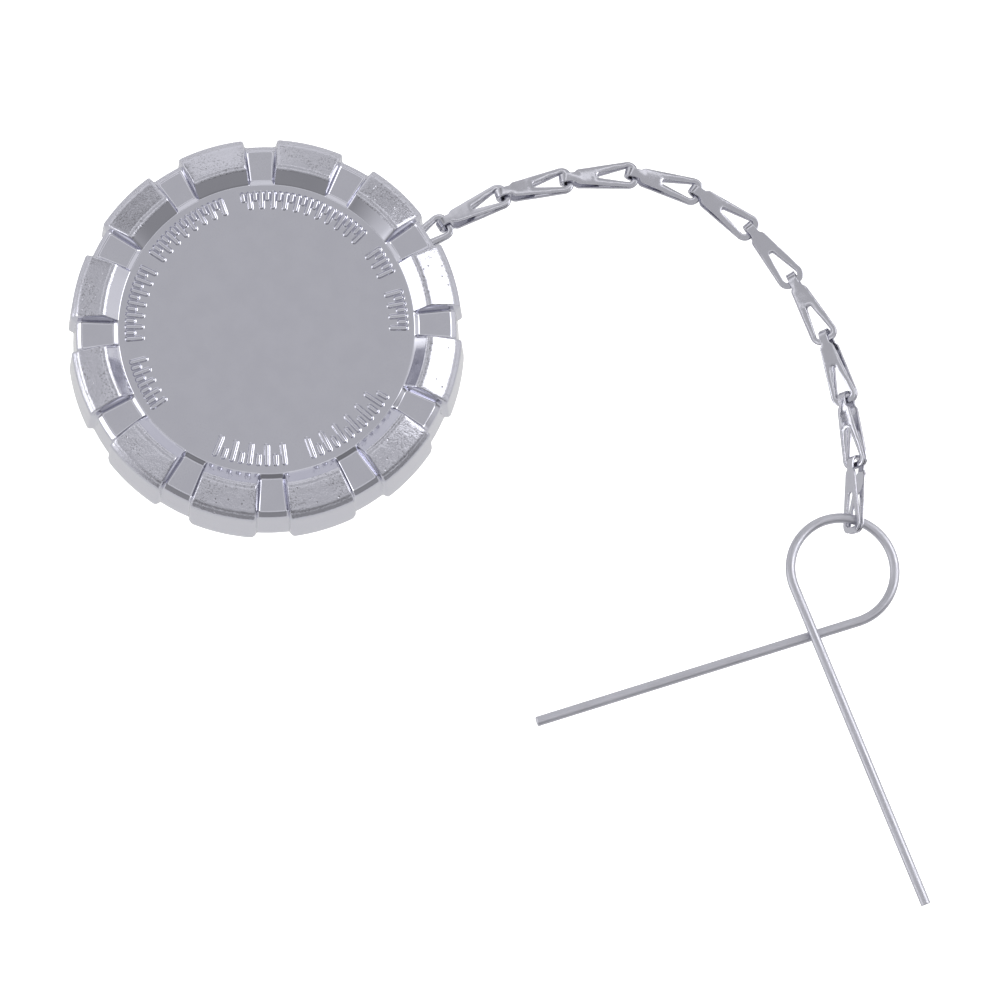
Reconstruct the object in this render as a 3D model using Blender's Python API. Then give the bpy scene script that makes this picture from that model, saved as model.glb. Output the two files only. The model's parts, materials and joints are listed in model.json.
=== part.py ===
"""Threaded fuel tank cap with a retaining chain and a spring-wire clip, lying on a table.

Run it with: blender --background --python part.py

Lengths are in metres and angles in degrees. The casting is described in the cap's own frame, whose
z = 0 is the rim and whose +z comes out of the polished top. The cap stands in the table's frame,
tilted, because the chain leaves from under its rim. The whole assembly then hangs from one empty,
which puts the centre of the polished top at the world's origin.
"""

import math

import bmesh
import bpy
from mathutils import Matrix, Vector

MM = 0.001
GAP = 0.3 * MM  # between pieces that touch
SMALL_ROUND = 24  # steps round a small turned piece
LARGE_ROUND = 48
SMOOTH_BELOW = 40  # angle between faces that are shaded as one curve

# Cap casting: outline seen from above
LOBES = 12
LOBE_PITCH = 360 / LOBES
FIRST_NOTCH = 2.5  # direction of one notch's middle
NOTCH_HALF = 5.0
LOBE_HALF = 9.1
LOBE_STEP = 6.07  # between the points along a lobe's edge
STATION_OFFSETS = (
    -NOTCH_HALF,
    NOTCH_HALF,
    LOBE_PITCH / 2 - LOBE_HALF,
    LOBE_PITCH / 2 - LOBE_HALF + LOBE_STEP,
    LOBE_PITCH / 2 + LOBE_HALF - LOBE_STEP,
    LOBE_PITCH / 2 + LOBE_HALF,
)

# Cap casting: heights and radii
DISC_RADIUS = 41.3 * MM
DISC_HEIGHT = 20.1 * MM
LOBE_PROFILE = [  # from the disc's edge over a lobe and down to the rim
    (44.4 * MM, 23.5 * MM),
    (45.5 * MM, 24.7 * MM),
    (53.0 * MM, 21.0 * MM),
    (54.6 * MM, 19.1 * MM),
    (56.0 * MM, 0.8 * MM),
    (55.2 * MM, 0.0),
]
NOTCH_PROFILE = [  # the same stretch through a notch
    (43.0 * MM, 19.2 * MM),
    (45.5 * MM, 18.9 * MM),
    (51.8 * MM, 17.9 * MM),
    (53.2 * MM, 16.5 * MM),
    (54.5 * MM, 0.8 * MM),
    (53.7 * MM, 0.0),
]
RIM_RADIUS = LOBE_PROFILE[-1][0]
MOUTH_RADIUS = 51.6 * MM
THREAD_ROOT = 51.0 * MM
THREAD_CREST = 50.0 * MM
THREAD_PITCH = 3.2 * MM
THREAD_TURNS = 3
THREAD_ROWS = 5  # per turn
THREAD_START = 1.2 * MM
CEILING_HEIGHT = 16.1 * MM
BOSS_TOP_RADIUS = 6.2 * MM
BOSS_RADIUS = 5.2 * MM
BOSS_HEIGHT = 9.5 * MM

# Gasket and swivel, in the cap's frame
GASKET_INNER = 43.5 * MM
GASKET_OUTER = 49.4 * MM
GASKET_THICKNESS = 3.0 * MM
SHANK_RADIUS = 1.9 * MM
SHANK_END = 15.4 * MM
WASHER_RADIUS = 4.2 * MM
WASHER_THICKNESS = 0.7 * MM
HEAD_RADIUS = 3.9 * MM
HEAD_HEIGHT = 2.3 * MM
HEAD_CHAMFER = 0.5 * MM
SLOT_WIDTH = 1.0 * MM
SLOT_DEPTH = 1.0 * MM
EYE_THICKNESS = 1.6 * MM
EYE_RING = 4.2 * MM
EYE_HALF_WIDTH = 3.4 * MM
EYE_HOLE_HALF = 2.1 * MM
EYE_CORNER = 1.2 * MM
EYE_STEPS = 14
EYE_BAR = 7.8 * MM  # from the cap's axis to the middle of the bar
BAR_WIDTH = 1.6 * MM
BAR_CHAMFER = 0.3 * MM

# Chain: each link is one stamped strip, folded at its waist round the end bars of the link before
LINK_PITCH = 18.95 * MM
STRIP = 0.8 * MM
WAIST_HALF = 1.3 * MM
FOLD_INSIDE = 1.6 * MM
FOLD_BACK = 0.5 * MM  # the fold's centre lies this far behind the bar it holds
FOLD_STEPS = 6
LAYER_GAP = 0.15 * MM  # between the two layers at the wide end
LAYERS_MEET = 16.6 * MM
# (distance from the held bar, half width, half width of the hole or 0)
LINK_OUTLINE = [
    (-FOLD_BACK, WAIST_HALF, 0),
    (1.3 * MM, WAIST_HALF, 0),
    (2.1 * MM, 2.1 * MM, 0),
    (8.2 * MM, 2.75 * MM, 0.4 * MM),
    (8.9 * MM, 2.85 * MM, 0.95 * MM),
    (LAYERS_MEET, 3.85 * MM, 2.4 * MM),
    (17.6 * MM, 3.9 * MM, 2.4 * MM),
    (LINK_PITCH - BAR_WIDTH / 2, 3.75 * MM, 1.9 * MM),
    (LINK_PITCH - BAR_WIDTH / 2 + BAR_CHAMFER, 3.6 * MM, 0),
    (LINK_PITCH + BAR_WIDTH / 2 - BAR_CHAMFER, 2.9 * MM, 0),
    (LINK_PITCH + BAR_WIDTH / 2, 2.2 * MM, 0),
]
CHAIN_DIRECTION = 35.5  # in which the chain leaves the cap
LINK_HEADINGS = [CHAIN_DIRECTION] * 3 + [28.5, 14.5, 5.5, -15.5, -35.5, -50.5, -61.5, -73.5, -82.5, -93.5]
LINK_ROLLS = [0, -2, -8, -20, -14, -8, -4, 0, 8, 21, 35, 49, 63]

# The cap leans on link 3, which passes under its rim
CAP_TILT = 2.6

# Retaining clip: one spring wire, bent to a loop with two crossing legs
WIRE_RADIUS = 1.4 * MM
LOOP_RADIUS = 15.0 * MM
LEG_LENGTH = 96.0 * MM
OVER_LEG = 202.3  # direction from the loop's centre to where the upper leg leaves it
UNDER_LEG = -71.8
LOOP_STEPS = 30
WIRE_IN_LINK = 15.9 * MM  # from the last link's held bar to the wire
LINK_ON_LOOP = 77  # direction from the loop's centre to the last link
LOOP_HIGH = 5.46 * MM
LOOP_LOW = 1.8 * MM


def clear_scene():
    for existing in list(bpy.data.objects):
        bpy.data.objects.remove(existing)


def metal(name, color, roughness, metallic=1.0):
    material = bpy.data.materials.new(name)
    material.use_nodes = True
    shader = material.node_tree.nodes["Principled BSDF"]
    shader.inputs["Base Color"].default_value = (*color, 1)
    shader.inputs["Roughness"].default_value = roughness
    shader.inputs["Metallic"].default_value = metallic
    return material


def add_empty(name, parent=None):
    empty = bpy.data.objects.new(name, None)
    empty.parent = parent
    bpy.context.scene.collection.objects.link(empty)
    return empty


def add_mesh(name, mesh, material, parent, smooth_below=SMOOTH_BELOW):
    if not mesh.materials:
        mesh.materials.append(material)
    mesh.shade_smooth()
    mesh.set_sharp_from_angle(angle=math.radians(smooth_below))
    piece = bpy.data.objects.new(name, mesh)
    piece.parent = parent
    bpy.context.scene.collection.objects.link(piece)
    return piece


def finished(bm, name):
    bmesh.ops.recalc_face_normals(bm, faces=bm.faces)
    mesh = bpy.data.meshes.new(name)
    bm.to_mesh(mesh)
    bm.free()
    return mesh


def polar(radius, angle, z=0.0):
    return Vector((radius * math.cos(math.radians(angle)), radius * math.sin(math.radians(angle)), z))


def stitch(bm, first, second):
    """Quads between two closed rings of the same number of points."""
    for i in range(len(first)):
        j = (i + 1) % len(first)
        bm.faces.new((first[i], first[j], second[j], second[i]))


def fan(bm, ring, height):
    middle = bm.verts.new((0, 0, height))
    for i in range(len(ring)):
        bm.faces.new((ring[i - 1], ring[i], middle))


def turned(name, profile, steps=SMALL_ROUND):
    """A closed turned piece: profile is a closed loop of (radius, height), radius 0 at its ends only."""
    bm = bmesh.new()
    angles = [360 * i / steps for i in range(steps)]
    rings = []
    for radius, height in profile:
        if radius:
            rings.append([bm.verts.new(polar(radius, angle, height)) for angle in angles])
    for first, second in zip(rings, rings[1:]):
        stitch(bm, first, second)
    if profile[0][0]:
        stitch(bm, rings[-1], rings[0])
    else:
        fan(bm, rings[0], profile[0][1])
        fan(bm, rings[-1], profile[-1][1])
    return finished(bm, name)


def ring_profile(inner, outer, bottom, top):
    return [(inner, bottom), (outer, bottom), (outer, top), (inner, top)]


# ---- cap casting ----


def stations():
    """(direction, 1 on a lobe or 0 in a notch) all round the cap."""
    found = []
    for lobe in range(LOBES):
        for offset in STATION_OFFSETS:
            on_lobe = 0 if abs(offset) <= NOTCH_HALF else 1
            found.append((FIRST_NOTCH + lobe * LOBE_PITCH + offset, on_lobe))
    return found


def thread_radius(angle, height):
    """A V thread, right-handed: its crest climbs one pitch a turn."""
    phase = (height / THREAD_PITCH - angle / 360) % 1
    return THREAD_CREST + (THREAD_ROOT - THREAD_CREST) * abs(2 * phase - 1)


def cap_casting_mesh():
    bm = bmesh.new()
    around = stations()

    def even_ring(radius, height):
        return [bm.verts.new(polar(radius, angle, height)) for angle, _ in around]

    rings = [even_ring(DISC_RADIUS, DISC_HEIGHT)]
    for lobe_point, notch_point in zip(LOBE_PROFILE, NOTCH_PROFILE):
        choices = (notch_point, lobe_point)
        rings.append([bm.verts.new(polar(choices[on][0], angle, choices[on][1])) for angle, on in around])
    rings.append(even_ring(MOUTH_RADIUS, 0))
    for row in range(THREAD_TURNS * THREAD_ROWS + 1):
        height = THREAD_START + row * THREAD_PITCH / THREAD_ROWS
        rings.append([bm.verts.new(polar(thread_radius(a, height), a, height)) for a, _ in around])
    rings.append(even_ring(THREAD_CREST, height + THREAD_PITCH / THREAD_ROWS))
    rings.append(even_ring(THREAD_CREST, CEILING_HEIGHT))
    rings.append(even_ring(BOSS_TOP_RADIUS, CEILING_HEIGHT))
    rings.append(even_ring(BOSS_RADIUS, BOSS_HEIGHT))
    rings.append(even_ring(SHANK_RADIUS + GAP, BOSS_HEIGHT))
    rings.append(even_ring(SHANK_RADIUS + GAP, SHANK_END + GAP))
    for first, second in zip(rings, rings[1:]):
        stitch(bm, first, second)
    fan(bm, rings[0], DISC_HEIGHT)
    fan(bm, rings[-1], SHANK_END + GAP)
    return finished(bm, "cap_casting")


def add_cap(assembly):
    """The casting and its gasket, on an empty on the cap's axis at the rim."""
    axis = add_empty("cap_axis", assembly)
    axis.location.z = RIM_RADIUS * math.sin(math.radians(CAP_TILT))
    axis.rotation_mode = "AXIS_ANGLE"
    level = polar(1, CHAIN_DIRECTION - 90)
    axis.rotation_axis_angle = (math.radians(CAP_TILT), *level)
    chrome = metal("chrome_casting", (0.62, 0.62, 0.65), 0.12)
    add_mesh("cap_casting", cap_casting_mesh(), chrome, axis)
    gasket_top = CEILING_HEIGHT - GAP
    gasket = turned(
        "seal_gasket",
        ring_profile(GASKET_INNER, GASKET_OUTER, gasket_top - GASKET_THICKNESS, gasket_top),
        steps=LARGE_ROUND,
    )
    rubber = metal("black_rubber", (0.03, 0.03, 0.03), 0.7, metallic=0)
    add_mesh("seal_gasket", gasket, rubber, axis)
    return axis


# ---- swivel under the cap ----

EYE_TOP = BOSS_HEIGHT - WASHER_THICKNESS - 2 * GAP
EYE_MIDDLE = EYE_TOP - EYE_THICKNESS / 2
LOWER_WASHER_TOP = EYE_TOP - EYE_THICKNESS - GAP
HEAD_TOP = LOWER_WASHER_TOP - WASHER_THICKNESS - GAP


def screw_mesh():
    head_bottom = HEAD_TOP - HEAD_HEIGHT
    return turned(
        "swivel_screw",
        [
            (0, SHANK_END),
            (SHANK_RADIUS, SHANK_END),
            (SHANK_RADIUS, HEAD_TOP),
            (HEAD_RADIUS, HEAD_TOP),
            (HEAD_RADIUS, head_bottom + HEAD_CHAMFER),
            (HEAD_RADIUS - HEAD_CHAMFER, head_bottom),
            (0, head_bottom),
        ],
    )


def box_cutter(name, size, centre, parent):
    bm = bmesh.new()
    bmesh.ops.create_cube(bm, size=1, matrix=Matrix.Translation(centre) @ Matrix.Diagonal((*size, 1)))
    return hidden_cutter(name, finished(bm, name), parent)


def hidden_cutter(name, mesh, parent):
    cutter = bpy.data.objects.new(name, mesh)
    cutter.parent = parent
    cutter.hide_render = True
    cutter.display_type = "WIRE"
    bpy.context.scene.collection.objects.link(cutter)
    return cutter


def cut(piece, cutter):
    boolean = piece.modifiers.new(cutter.name, "BOOLEAN")
    boolean.operation = "DIFFERENCE"
    boolean.object = cutter


def eye_mesh():
    """A flat plate: a ring round the screw, drawn out to the bar that holds the first link."""
    bm = bmesh.new()
    end = EYE_BAR + BAR_WIDTH / 2
    spread = math.degrees(math.asin(EYE_HALF_WIDTH / EYE_RING))
    turn = 360 - 2 * spread
    outline = [polar(EYE_RING, spread + turn * i / EYE_STEPS) for i in range(EYE_STEPS + 1)]
    outline += [
        Vector((end - EYE_CORNER, -EYE_HALF_WIDTH, 0)),
        Vector((end, -EYE_HALF_WIDTH + EYE_CORNER, 0)),
        Vector((end, EYE_HALF_WIDTH - EYE_CORNER, 0)),
        Vector((end - EYE_CORNER, EYE_HALF_WIDTH, 0)),
    ]
    lower = [bm.verts.new((p.x, p.y, -EYE_THICKNESS / 2)) for p in outline]
    face = bm.faces.new(lower)
    raised = bmesh.ops.extrude_face_region(bm, geom=[face])
    moved = [part for part in raised["geom"] if isinstance(part, bmesh.types.BMVert)]
    bmesh.ops.translate(bm, verts=moved, vec=(0, 0, EYE_THICKNESS))
    return finished(bm, "swivel_eye")


def add_swivel(cap_axis):
    """The anchor of the chain: a shoulder screw, two washers, and an eye that turns between them."""
    steel = metal("plated_steel", (0.6, 0.6, 0.62), 0.3)
    screw = add_mesh("swivel_screw", screw_mesh(), steel, cap_axis)
    slot_size = (3 * HEAD_RADIUS, SLOT_WIDTH, 2 * SLOT_DEPTH)
    slot_centre = (0, 0, HEAD_TOP - HEAD_HEIGHT)
    cut(screw, box_cutter("slot_cutter", slot_size, slot_centre, cap_axis))

    hole = SHANK_RADIUS + GAP
    washer_tops = {"upper_washer": BOSS_HEIGHT - GAP, "lower_washer": LOWER_WASHER_TOP}
    for name, top in washer_tops.items():
        profile = ring_profile(hole, WASHER_RADIUS, top - WASHER_THICKNESS, top)
        add_mesh(name, turned(name, profile), metal(name + "_steel", (0.62, 0.62, 0.64), 0.28), cap_axis)

    eye = add_mesh("swivel_eye", eye_mesh(), metal("eye_steel", (0.6, 0.6, 0.62), 0.3), cap_axis)
    eye.location.z = EYE_MIDDLE
    eye.rotation_euler.z = math.radians(CHAIN_DIRECTION)
    cutter_height = 2 * EYE_THICKNESS
    bore_profile = [(0, cutter_height), (hole, cutter_height), (hole, -cutter_height), (0, -cutter_height)]
    bore = turned("bore", bore_profile)
    cut(eye, hidden_cutter("eye_bore_cutter", bore, eye))
    window = EYE_BAR - BAR_WIDTH / 2 - EYE_RING
    window_size = (window, 2 * EYE_HOLE_HALF, cutter_height)
    cut(eye, box_cutter("eye_window_cutter", window_size, (EYE_RING + window / 2, 0, 0), eye))
    return eye


# ---- chain ----


def layer_height(x):
    """Height of the middle of a layer's thickness: the two layers run together towards the wide end."""
    at_fold = FOLD_INSIDE + STRIP / 2
    at_end = (LAYER_GAP + STRIP) / 2
    along = min(max(x / LAYERS_MEET, 0), 1)
    return at_fold + (at_end - at_fold) * along


def link_path():
    """Stations along the folded strip: (middle point, outward normal, half width, half hole, chamfer)."""
    layer = []
    for x, half, hole in LINK_OUTLINE:
        at_hole_end = hole and x > LINK_PITCH - BAR_WIDTH
        at_tip = x == LINK_OUTLINE[-1][0]
        layer.append((x, half, hole, "hole" if at_hole_end else "tip" if at_tip else ""))
    upper = [(Vector((x, 0, layer_height(x))), Vector((0, 0, 1)), *rest) for x, *rest in reversed(layer)]
    bend = []
    for step in range(1, FOLD_STEPS):
        angle = math.radians(90 + 180 * step / FOLD_STEPS)
        normal = Vector((math.cos(angle), 0, math.sin(angle)))
        middle = Vector((-FOLD_BACK, 0, 0)) + normal * (FOLD_INSIDE + STRIP / 2)
        bend.append((middle, normal, WAIST_HALF, 0, ""))
    lower = [(Vector((x, 0, -layer_height(x))), Vector((0, 0, -1)), *rest) for x, *rest in layer]
    return upper + bend + lower


def link_columns(bm, station):
    """The station's points across the strip, outer side then inner side, left to right."""
    middle, normal, half, hole, chamfer = station
    places = [-half, -hole, hole, half] if hole else [-half, half]
    sides = []
    for sign in (1, -1):
        row = []
        for y in places:
            thickness = STRIP / 2
            if sign > 0 and (chamfer == "tip" or (chamfer == "hole" and abs(y) == hole)):
                thickness -= BAR_CHAMFER
            row.append(bm.verts.new(middle + normal * (sign * thickness) + Vector((0, y, 0))))
        sides.append(row)
    return sides


def link_mesh():
    bm = bmesh.new()
    path = link_path()
    columns = [link_columns(bm, station) for station in path]
    for (outer_a, inner_a), (outer_b, inner_b) in zip(columns, columns[1:]):
        bm.faces.new((outer_a[0], inner_a[0], inner_b[0], outer_b[0]))
        bm.faces.new((outer_a[-1], inner_a[-1], inner_b[-1], outer_b[-1]))
        for a, b in ((outer_a, outer_b), (inner_a, inner_b)):
            if len(a) == len(b) == 4:
                bm.faces.new((a[0], a[1], b[1], b[0]))
                bm.faces.new((a[2], a[3], b[3], b[2]))
            else:
                bm.faces.new(a + b[::-1])
        if len(outer_a) == len(outer_b) == 4:
            bm.faces.new((outer_a[1], inner_a[1], inner_b[1], outer_b[1]))
            bm.faces.new((outer_a[2], inner_a[2], inner_b[2], outer_b[2]))
        elif len(outer_a) != len(outer_b):
            outer, inner = (outer_a, inner_a) if len(outer_a) == 4 else (outer_b, inner_b)
            bm.faces.new((outer[1], outer[2], inner[2], inner[1]))
    for outer, inner in (columns[0], columns[-1]):
        bm.faces.new(outer + inner[::-1])
    return finished(bm, "chain_link")


def link_rest_height(roll, next_roll):
    """Height of the joint after a link: its edge and the next link's fold both clear the table."""
    edge = math.radians(abs(roll))
    fold = math.radians(abs(next_roll))
    end_half = max(half for _, half, _ in LINK_OUTLINE)
    end_drop = end_half * math.sin(edge) + (STRIP + LAYER_GAP / 2) * math.cos(edge)
    fold_drop = WAIST_HALF * math.sin(fold) + (FOLD_INSIDE + STRIP) * math.cos(fold)
    return max(end_drop, fold_drop)


def add_chain(assembly, cap_axis):
    """Thirteen links, laid one after another from the eye's bar. Each origin is on its joint."""
    bpy.context.view_layer.update()
    to_table = assembly.matrix_world.inverted() @ cap_axis.matrix_world
    start = to_table @ polar(EYE_BAR, CHAIN_DIRECTION, EYE_MIDDLE)
    mesh = link_mesh()
    steel = metal("stamped_steel", (0.68, 0.68, 0.7), 0.18)
    next_rolls = LINK_ROLLS[1:] + LINK_ROLLS[-1:]
    for number, (heading, roll, next_roll) in enumerate(zip(LINK_HEADINGS, LINK_ROLLS, next_rolls), 1):
        drop = start.z - link_rest_height(roll, next_roll)
        link = add_mesh(f"chain_link_{number:02d}", mesh, steel, assembly)
        link.location = start
        link.rotation_euler = (
            math.radians(roll),
            math.asin(drop / LINK_PITCH),
            math.radians(heading),
        )
        start = link.location + link.rotation_euler.to_matrix() @ Vector((LINK_PITCH, 0, 0))
    return link


# ---- retaining wire ----


def wire_route(centre):
    """Points along the wire's centre line, from the end of the lower leg to the end of the upper one."""
    route = []
    for step in range(LOOP_STEPS + 1):
        along = step / LOOP_STEPS
        angle = UNDER_LEG + (OVER_LEG - UNDER_LEG) * along
        height = LOOP_LOW + (LOOP_HIGH - LOOP_LOW) * along
        route.append(centre + polar(LOOP_RADIUS, angle, height))
    low_end = route[0] + polar(LEG_LENGTH, UNDER_LEG - 90)
    low_end.z = WIRE_RADIUS
    high_end = route[-1] + polar(LEG_LENGTH, OVER_LEG + 90)
    high_end.z = WIRE_RADIUS
    return [low_end, *route, high_end]


def add_retaining_wire(assembly, last_link):
    """The clip hangs on the last link. Its origin is where the link rides on the wire."""
    seat = last_link.location + last_link.rotation_euler.to_matrix() @ Vector((WIRE_IN_LINK, 0, 0))
    centre = Vector((seat.x, seat.y, 0)) - polar(LOOP_RADIUS, LINK_ON_LOOP)
    route = wire_route(centre)
    along = (LINK_ON_LOOP - UNDER_LEG) / (OVER_LEG - UNDER_LEG)
    origin = centre + polar(LOOP_RADIUS, LINK_ON_LOOP, LOOP_LOW + (LOOP_HIGH - LOOP_LOW) * along)

    curve = bpy.data.curves.new("retaining_wire", "CURVE")
    curve.dimensions = "3D"
    curve.bevel_depth = WIRE_RADIUS
    curve.bevel_resolution = 3
    curve.use_fill_caps = True
    spline = curve.splines.new("POLY")
    spline.points.add(len(route) - 1)
    for point, place in zip(spline.points, route):
        point.co = (*(place - origin), 1)
    curve.materials.append(metal("spring_wire", (0.45, 0.45, 0.47), 0.35))
    wire = bpy.data.objects.new("retaining_wire", curve)
    wire.parent = assembly
    wire.location = origin
    bpy.context.scene.collection.objects.link(wire)
    return wire


def main():
    clear_scene()
    assembly = add_empty("assembly")
    cap_axis = add_cap(assembly)
    add_swivel(cap_axis)
    last_link = add_chain(assembly, cap_axis)
    add_retaining_wire(assembly, last_link)
    bpy.context.view_layer.update()
    assembly.location = -(cap_axis.matrix_world @ Vector((0, 0, DISC_HEIGHT)))
    bpy.context.view_layer.update()


main()
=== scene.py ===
"""Looks of the threaded fuel cap, its folded-link chain and its bent wire clip.

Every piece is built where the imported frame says, in metres. Angles are in degrees. The cap's own
frame has its origin in the middle of the polished disc and +z out of it.
"""

import json
import math

import bmesh
import bpy
import numpy as np
from mathutils import Matrix, Vector


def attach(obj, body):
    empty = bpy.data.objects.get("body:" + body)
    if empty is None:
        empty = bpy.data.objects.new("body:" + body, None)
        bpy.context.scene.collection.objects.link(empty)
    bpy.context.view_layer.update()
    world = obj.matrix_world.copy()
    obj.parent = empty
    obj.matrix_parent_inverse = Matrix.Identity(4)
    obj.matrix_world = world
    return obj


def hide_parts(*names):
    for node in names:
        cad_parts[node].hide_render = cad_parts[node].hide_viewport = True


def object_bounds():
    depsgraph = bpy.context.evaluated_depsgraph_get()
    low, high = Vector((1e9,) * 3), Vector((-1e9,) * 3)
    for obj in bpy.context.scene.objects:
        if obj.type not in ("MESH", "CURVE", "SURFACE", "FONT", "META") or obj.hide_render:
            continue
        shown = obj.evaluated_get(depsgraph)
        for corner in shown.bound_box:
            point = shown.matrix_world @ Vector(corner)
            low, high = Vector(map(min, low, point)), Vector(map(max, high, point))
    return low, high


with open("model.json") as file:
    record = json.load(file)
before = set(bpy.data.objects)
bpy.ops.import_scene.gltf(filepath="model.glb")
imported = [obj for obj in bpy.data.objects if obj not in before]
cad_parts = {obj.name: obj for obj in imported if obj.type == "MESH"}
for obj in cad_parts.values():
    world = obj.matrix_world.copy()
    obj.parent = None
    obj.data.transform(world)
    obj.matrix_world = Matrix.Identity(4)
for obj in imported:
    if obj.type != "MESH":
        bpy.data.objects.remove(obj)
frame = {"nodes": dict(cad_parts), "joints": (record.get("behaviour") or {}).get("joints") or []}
CAD_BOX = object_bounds()
JOINTS = {joint["name"]: joint for joint in frame["joints"]}

MM = 0.001

# Cap casting, seen from above
LOBES = 12
LOBE_PITCH = 360 / LOBES
FIRST_NOTCH = 2.5
CHAIN_DIRECTION = 35.5
FLOOR_HALF = 3.6  # of a notch, up to the fillet at its side
LOBE_EDGE = 5.9  # where a lobe's top begins, from the notch's middle
WALL_START = LOBE_EDGE - 1.25  # a lobe's steep side, between its two fillets
WALL_END = LOBE_EDGE - 0.85
WALL_FOOT = 0.22  # share of the lobe's height where the steep side begins
WALL_TOP = 0.8
FLOOR_COLUMNS = 5
FILLET_COLUMNS = 5
LOBE_COLUMNS = 12
FOOT_CORNER = 2.6 * MM  # radius of the lobes' lower corners
FOOT_CORNER_WIDTH = 2.6  # the same, in degrees
FOOT_CORNER_HEIGHT = -17.3 * MM

# Cap casting, in mm: radius and height above the disc along its outside, and how far from each
# inner corner its rounding begins
LOBE_CORNERS = [
    (40.9, 0),
    (41.3, 0),
    (44.5, 3.2),
    (45.6, 4.35),
    (52.8, 1.0),
    (54.65, -0.9),
    (56.0, -19.3),
    (55.2, -20.1),
    (51.6, -20.1),
]
NOTCH_CORNERS = [
    (40.9, 0),
    (41.3, 0),
    (42.7, -1.15),
    (43.4, -1.2),
    (51.7, -2.15),
    (53.2, -3.6),
    (54.5, -19.3),
    (53.7, -20.1),
    (51.6, -20.1),
]
LOBE_CUTS = [0.25, 0.3, 1.3, 0.5, 0.5, 0.3, 0.25]
NOTCH_CUTS = [0.25, 0.3, 0.3, 0.4, 0.4, 0.3, 0.25]
ARC_STEPS = [3, 3, 6, 4, 4, 3, 2]
RUN_STEPS = [1, 4, 2, 12, 3, 8, 1, 2]
TOP_RUN = 3  # index of the run along a lobe's top
RIM_RUN = 4
SIDE_RUN = 5

# How rough the casting is left, from 0 for polished to 1
CAST_TOP = 1.0
CAST_RIM = 0.6
CAST_SIDE = 0.1
CAST_SKIRT = 0.25
CAST_MARKS = 0.15
ON_LOBE = 0.95  # weight above which a column is on a lobe's top

# Rings of the polished disc: (radius, how rough the casting is left there)
DISC_RINGS = [(39.9 * MM, 0.1), (31.5 * MM, 0.06), (25 * MM, 0.0), (12 * MM, 0.0)]

# Cap casting, inside
RIM = -20.1 * MM
MOUTH_RADIUS = 51.6 * MM
THREAD_ROOT = 51.0 * MM
THREAD_CREST = 50.0 * MM
THREAD_PITCH = 3.2 * MM
THREAD_TURNS = 3
THREAD_ROWS = 12
THREAD_START = 1.2 * MM
THREAD_RELIEF = 0.3 * MM  # from the thread's end to the plain bore
MOUTH_STEP = 0.3 * MM
CEILING = -4.0 * MM
CEILING_CORNER = 0.5 * MM
BOSS_FILLET = 0.8 * MM
BOSS_EDGE = 0.35 * MM
HOLE_EDGE = 0.2 * MM
BOSS_TOP_RADIUS = 6.2 * MM
BOSS_RADIUS = 5.2 * MM
BOSS_END = -10.6 * MM
SHANK_HOLE = 2.2 * MM
SHANK_HOLE_TOP = -4.4 * MM

# Raised scale marks round the disc: (inner radius, outer radius, angle between marks)
UPPER_MARKS = (34.3 * MM, 39.4 * MM, 2.6)
LOWER_MARKS = (33.0 * MM, 39.2 * MM, 3.64)
# Where they stand: (first mark, last mark, which marks)
MARK_ZONES = [
    (0.8, 16.4, UPPER_MARKS),
    (26.0, 36.4, UPPER_MARKS),
    (46.0, 100.6, UPPER_MARKS),
    (110.0, 146.4, UPPER_MARKS),
    (154.0, 185.2, UPPER_MARKS),
    (195.2, 216.0, UPPER_MARKS),
    (248.6, 278.0, LOWER_MARKS),
    (290.2, 330.0, LOWER_MARKS),
]
SHORT_MARK = 0.55  # every second mark's length, as a share
MARK_HALF_WIDTH = 0.6 * MM
# Section of a mark from its flared foot to its crown, in mm: (growth of its outline, height)
MARK_FOOT = [(0.4, -0.02), (0.18, 0.06), (0.05, 0.18)]
MARK_CROWN = [(-0.02, 0.32), (-0.13, 0.45), (-0.28, 0.54), (-0.44, 0.58)]

# Gasket and swivel, in the cap's frame
GASKET_INNER = 43.5 * MM
GASKET_OUTER = 49.4 * MM
GASKET_TOP = -4.3 * MM
GASKET_BOTTOM = -7.3 * MM
GASKET_EDGE = 0.5 * MM
GASKET_SIDES = 192
GROOVE_MIDDLES = (45.2 * MM, 47.7 * MM)
GROOVE_SECTION = [(-0.5, 0), (-0.25, 0.22), (0, 0.3), (0.25, 0.22), (0.5, 0)]  # (offset, depth) in mm
EDGE_STEPS = 4  # of each rounded edge of a flat ring
TURNED_SIDES = 64
SHANK_RADIUS = 1.9 * MM
SHANK_END = -4.7 * MM
WASHER_HOLE = 2.2 * MM
WASHER_RADIUS = 4.2 * MM
WASHER_THICKNESS = 0.7 * MM
WASHER_EDGE = 0.15 * MM
UPPER_WASHER_TOP = -10.9 * MM
EYE_TOP = -11.9 * MM
EYE_THICKNESS = 1.6 * MM
LOWER_WASHER_TOP = -13.8 * MM
HEAD_TOP = -14.8 * MM
HEAD_HEIGHT = 2.3 * MM
HEAD_RADIUS = 3.9 * MM
SLOT_WIDTH = 1.0 * MM
SLOT_DEPTH = 1.0 * MM
EYE_RING = 4.2 * MM
EYE_HALF_WIDTH = 3.4 * MM
EYE_END = 8.6 * MM
EYE_WINDOW = (4.2 * MM, 7.0 * MM, 2.1 * MM)  # from, to, half width
EYE_EDGE = 0.5 * MM

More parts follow.
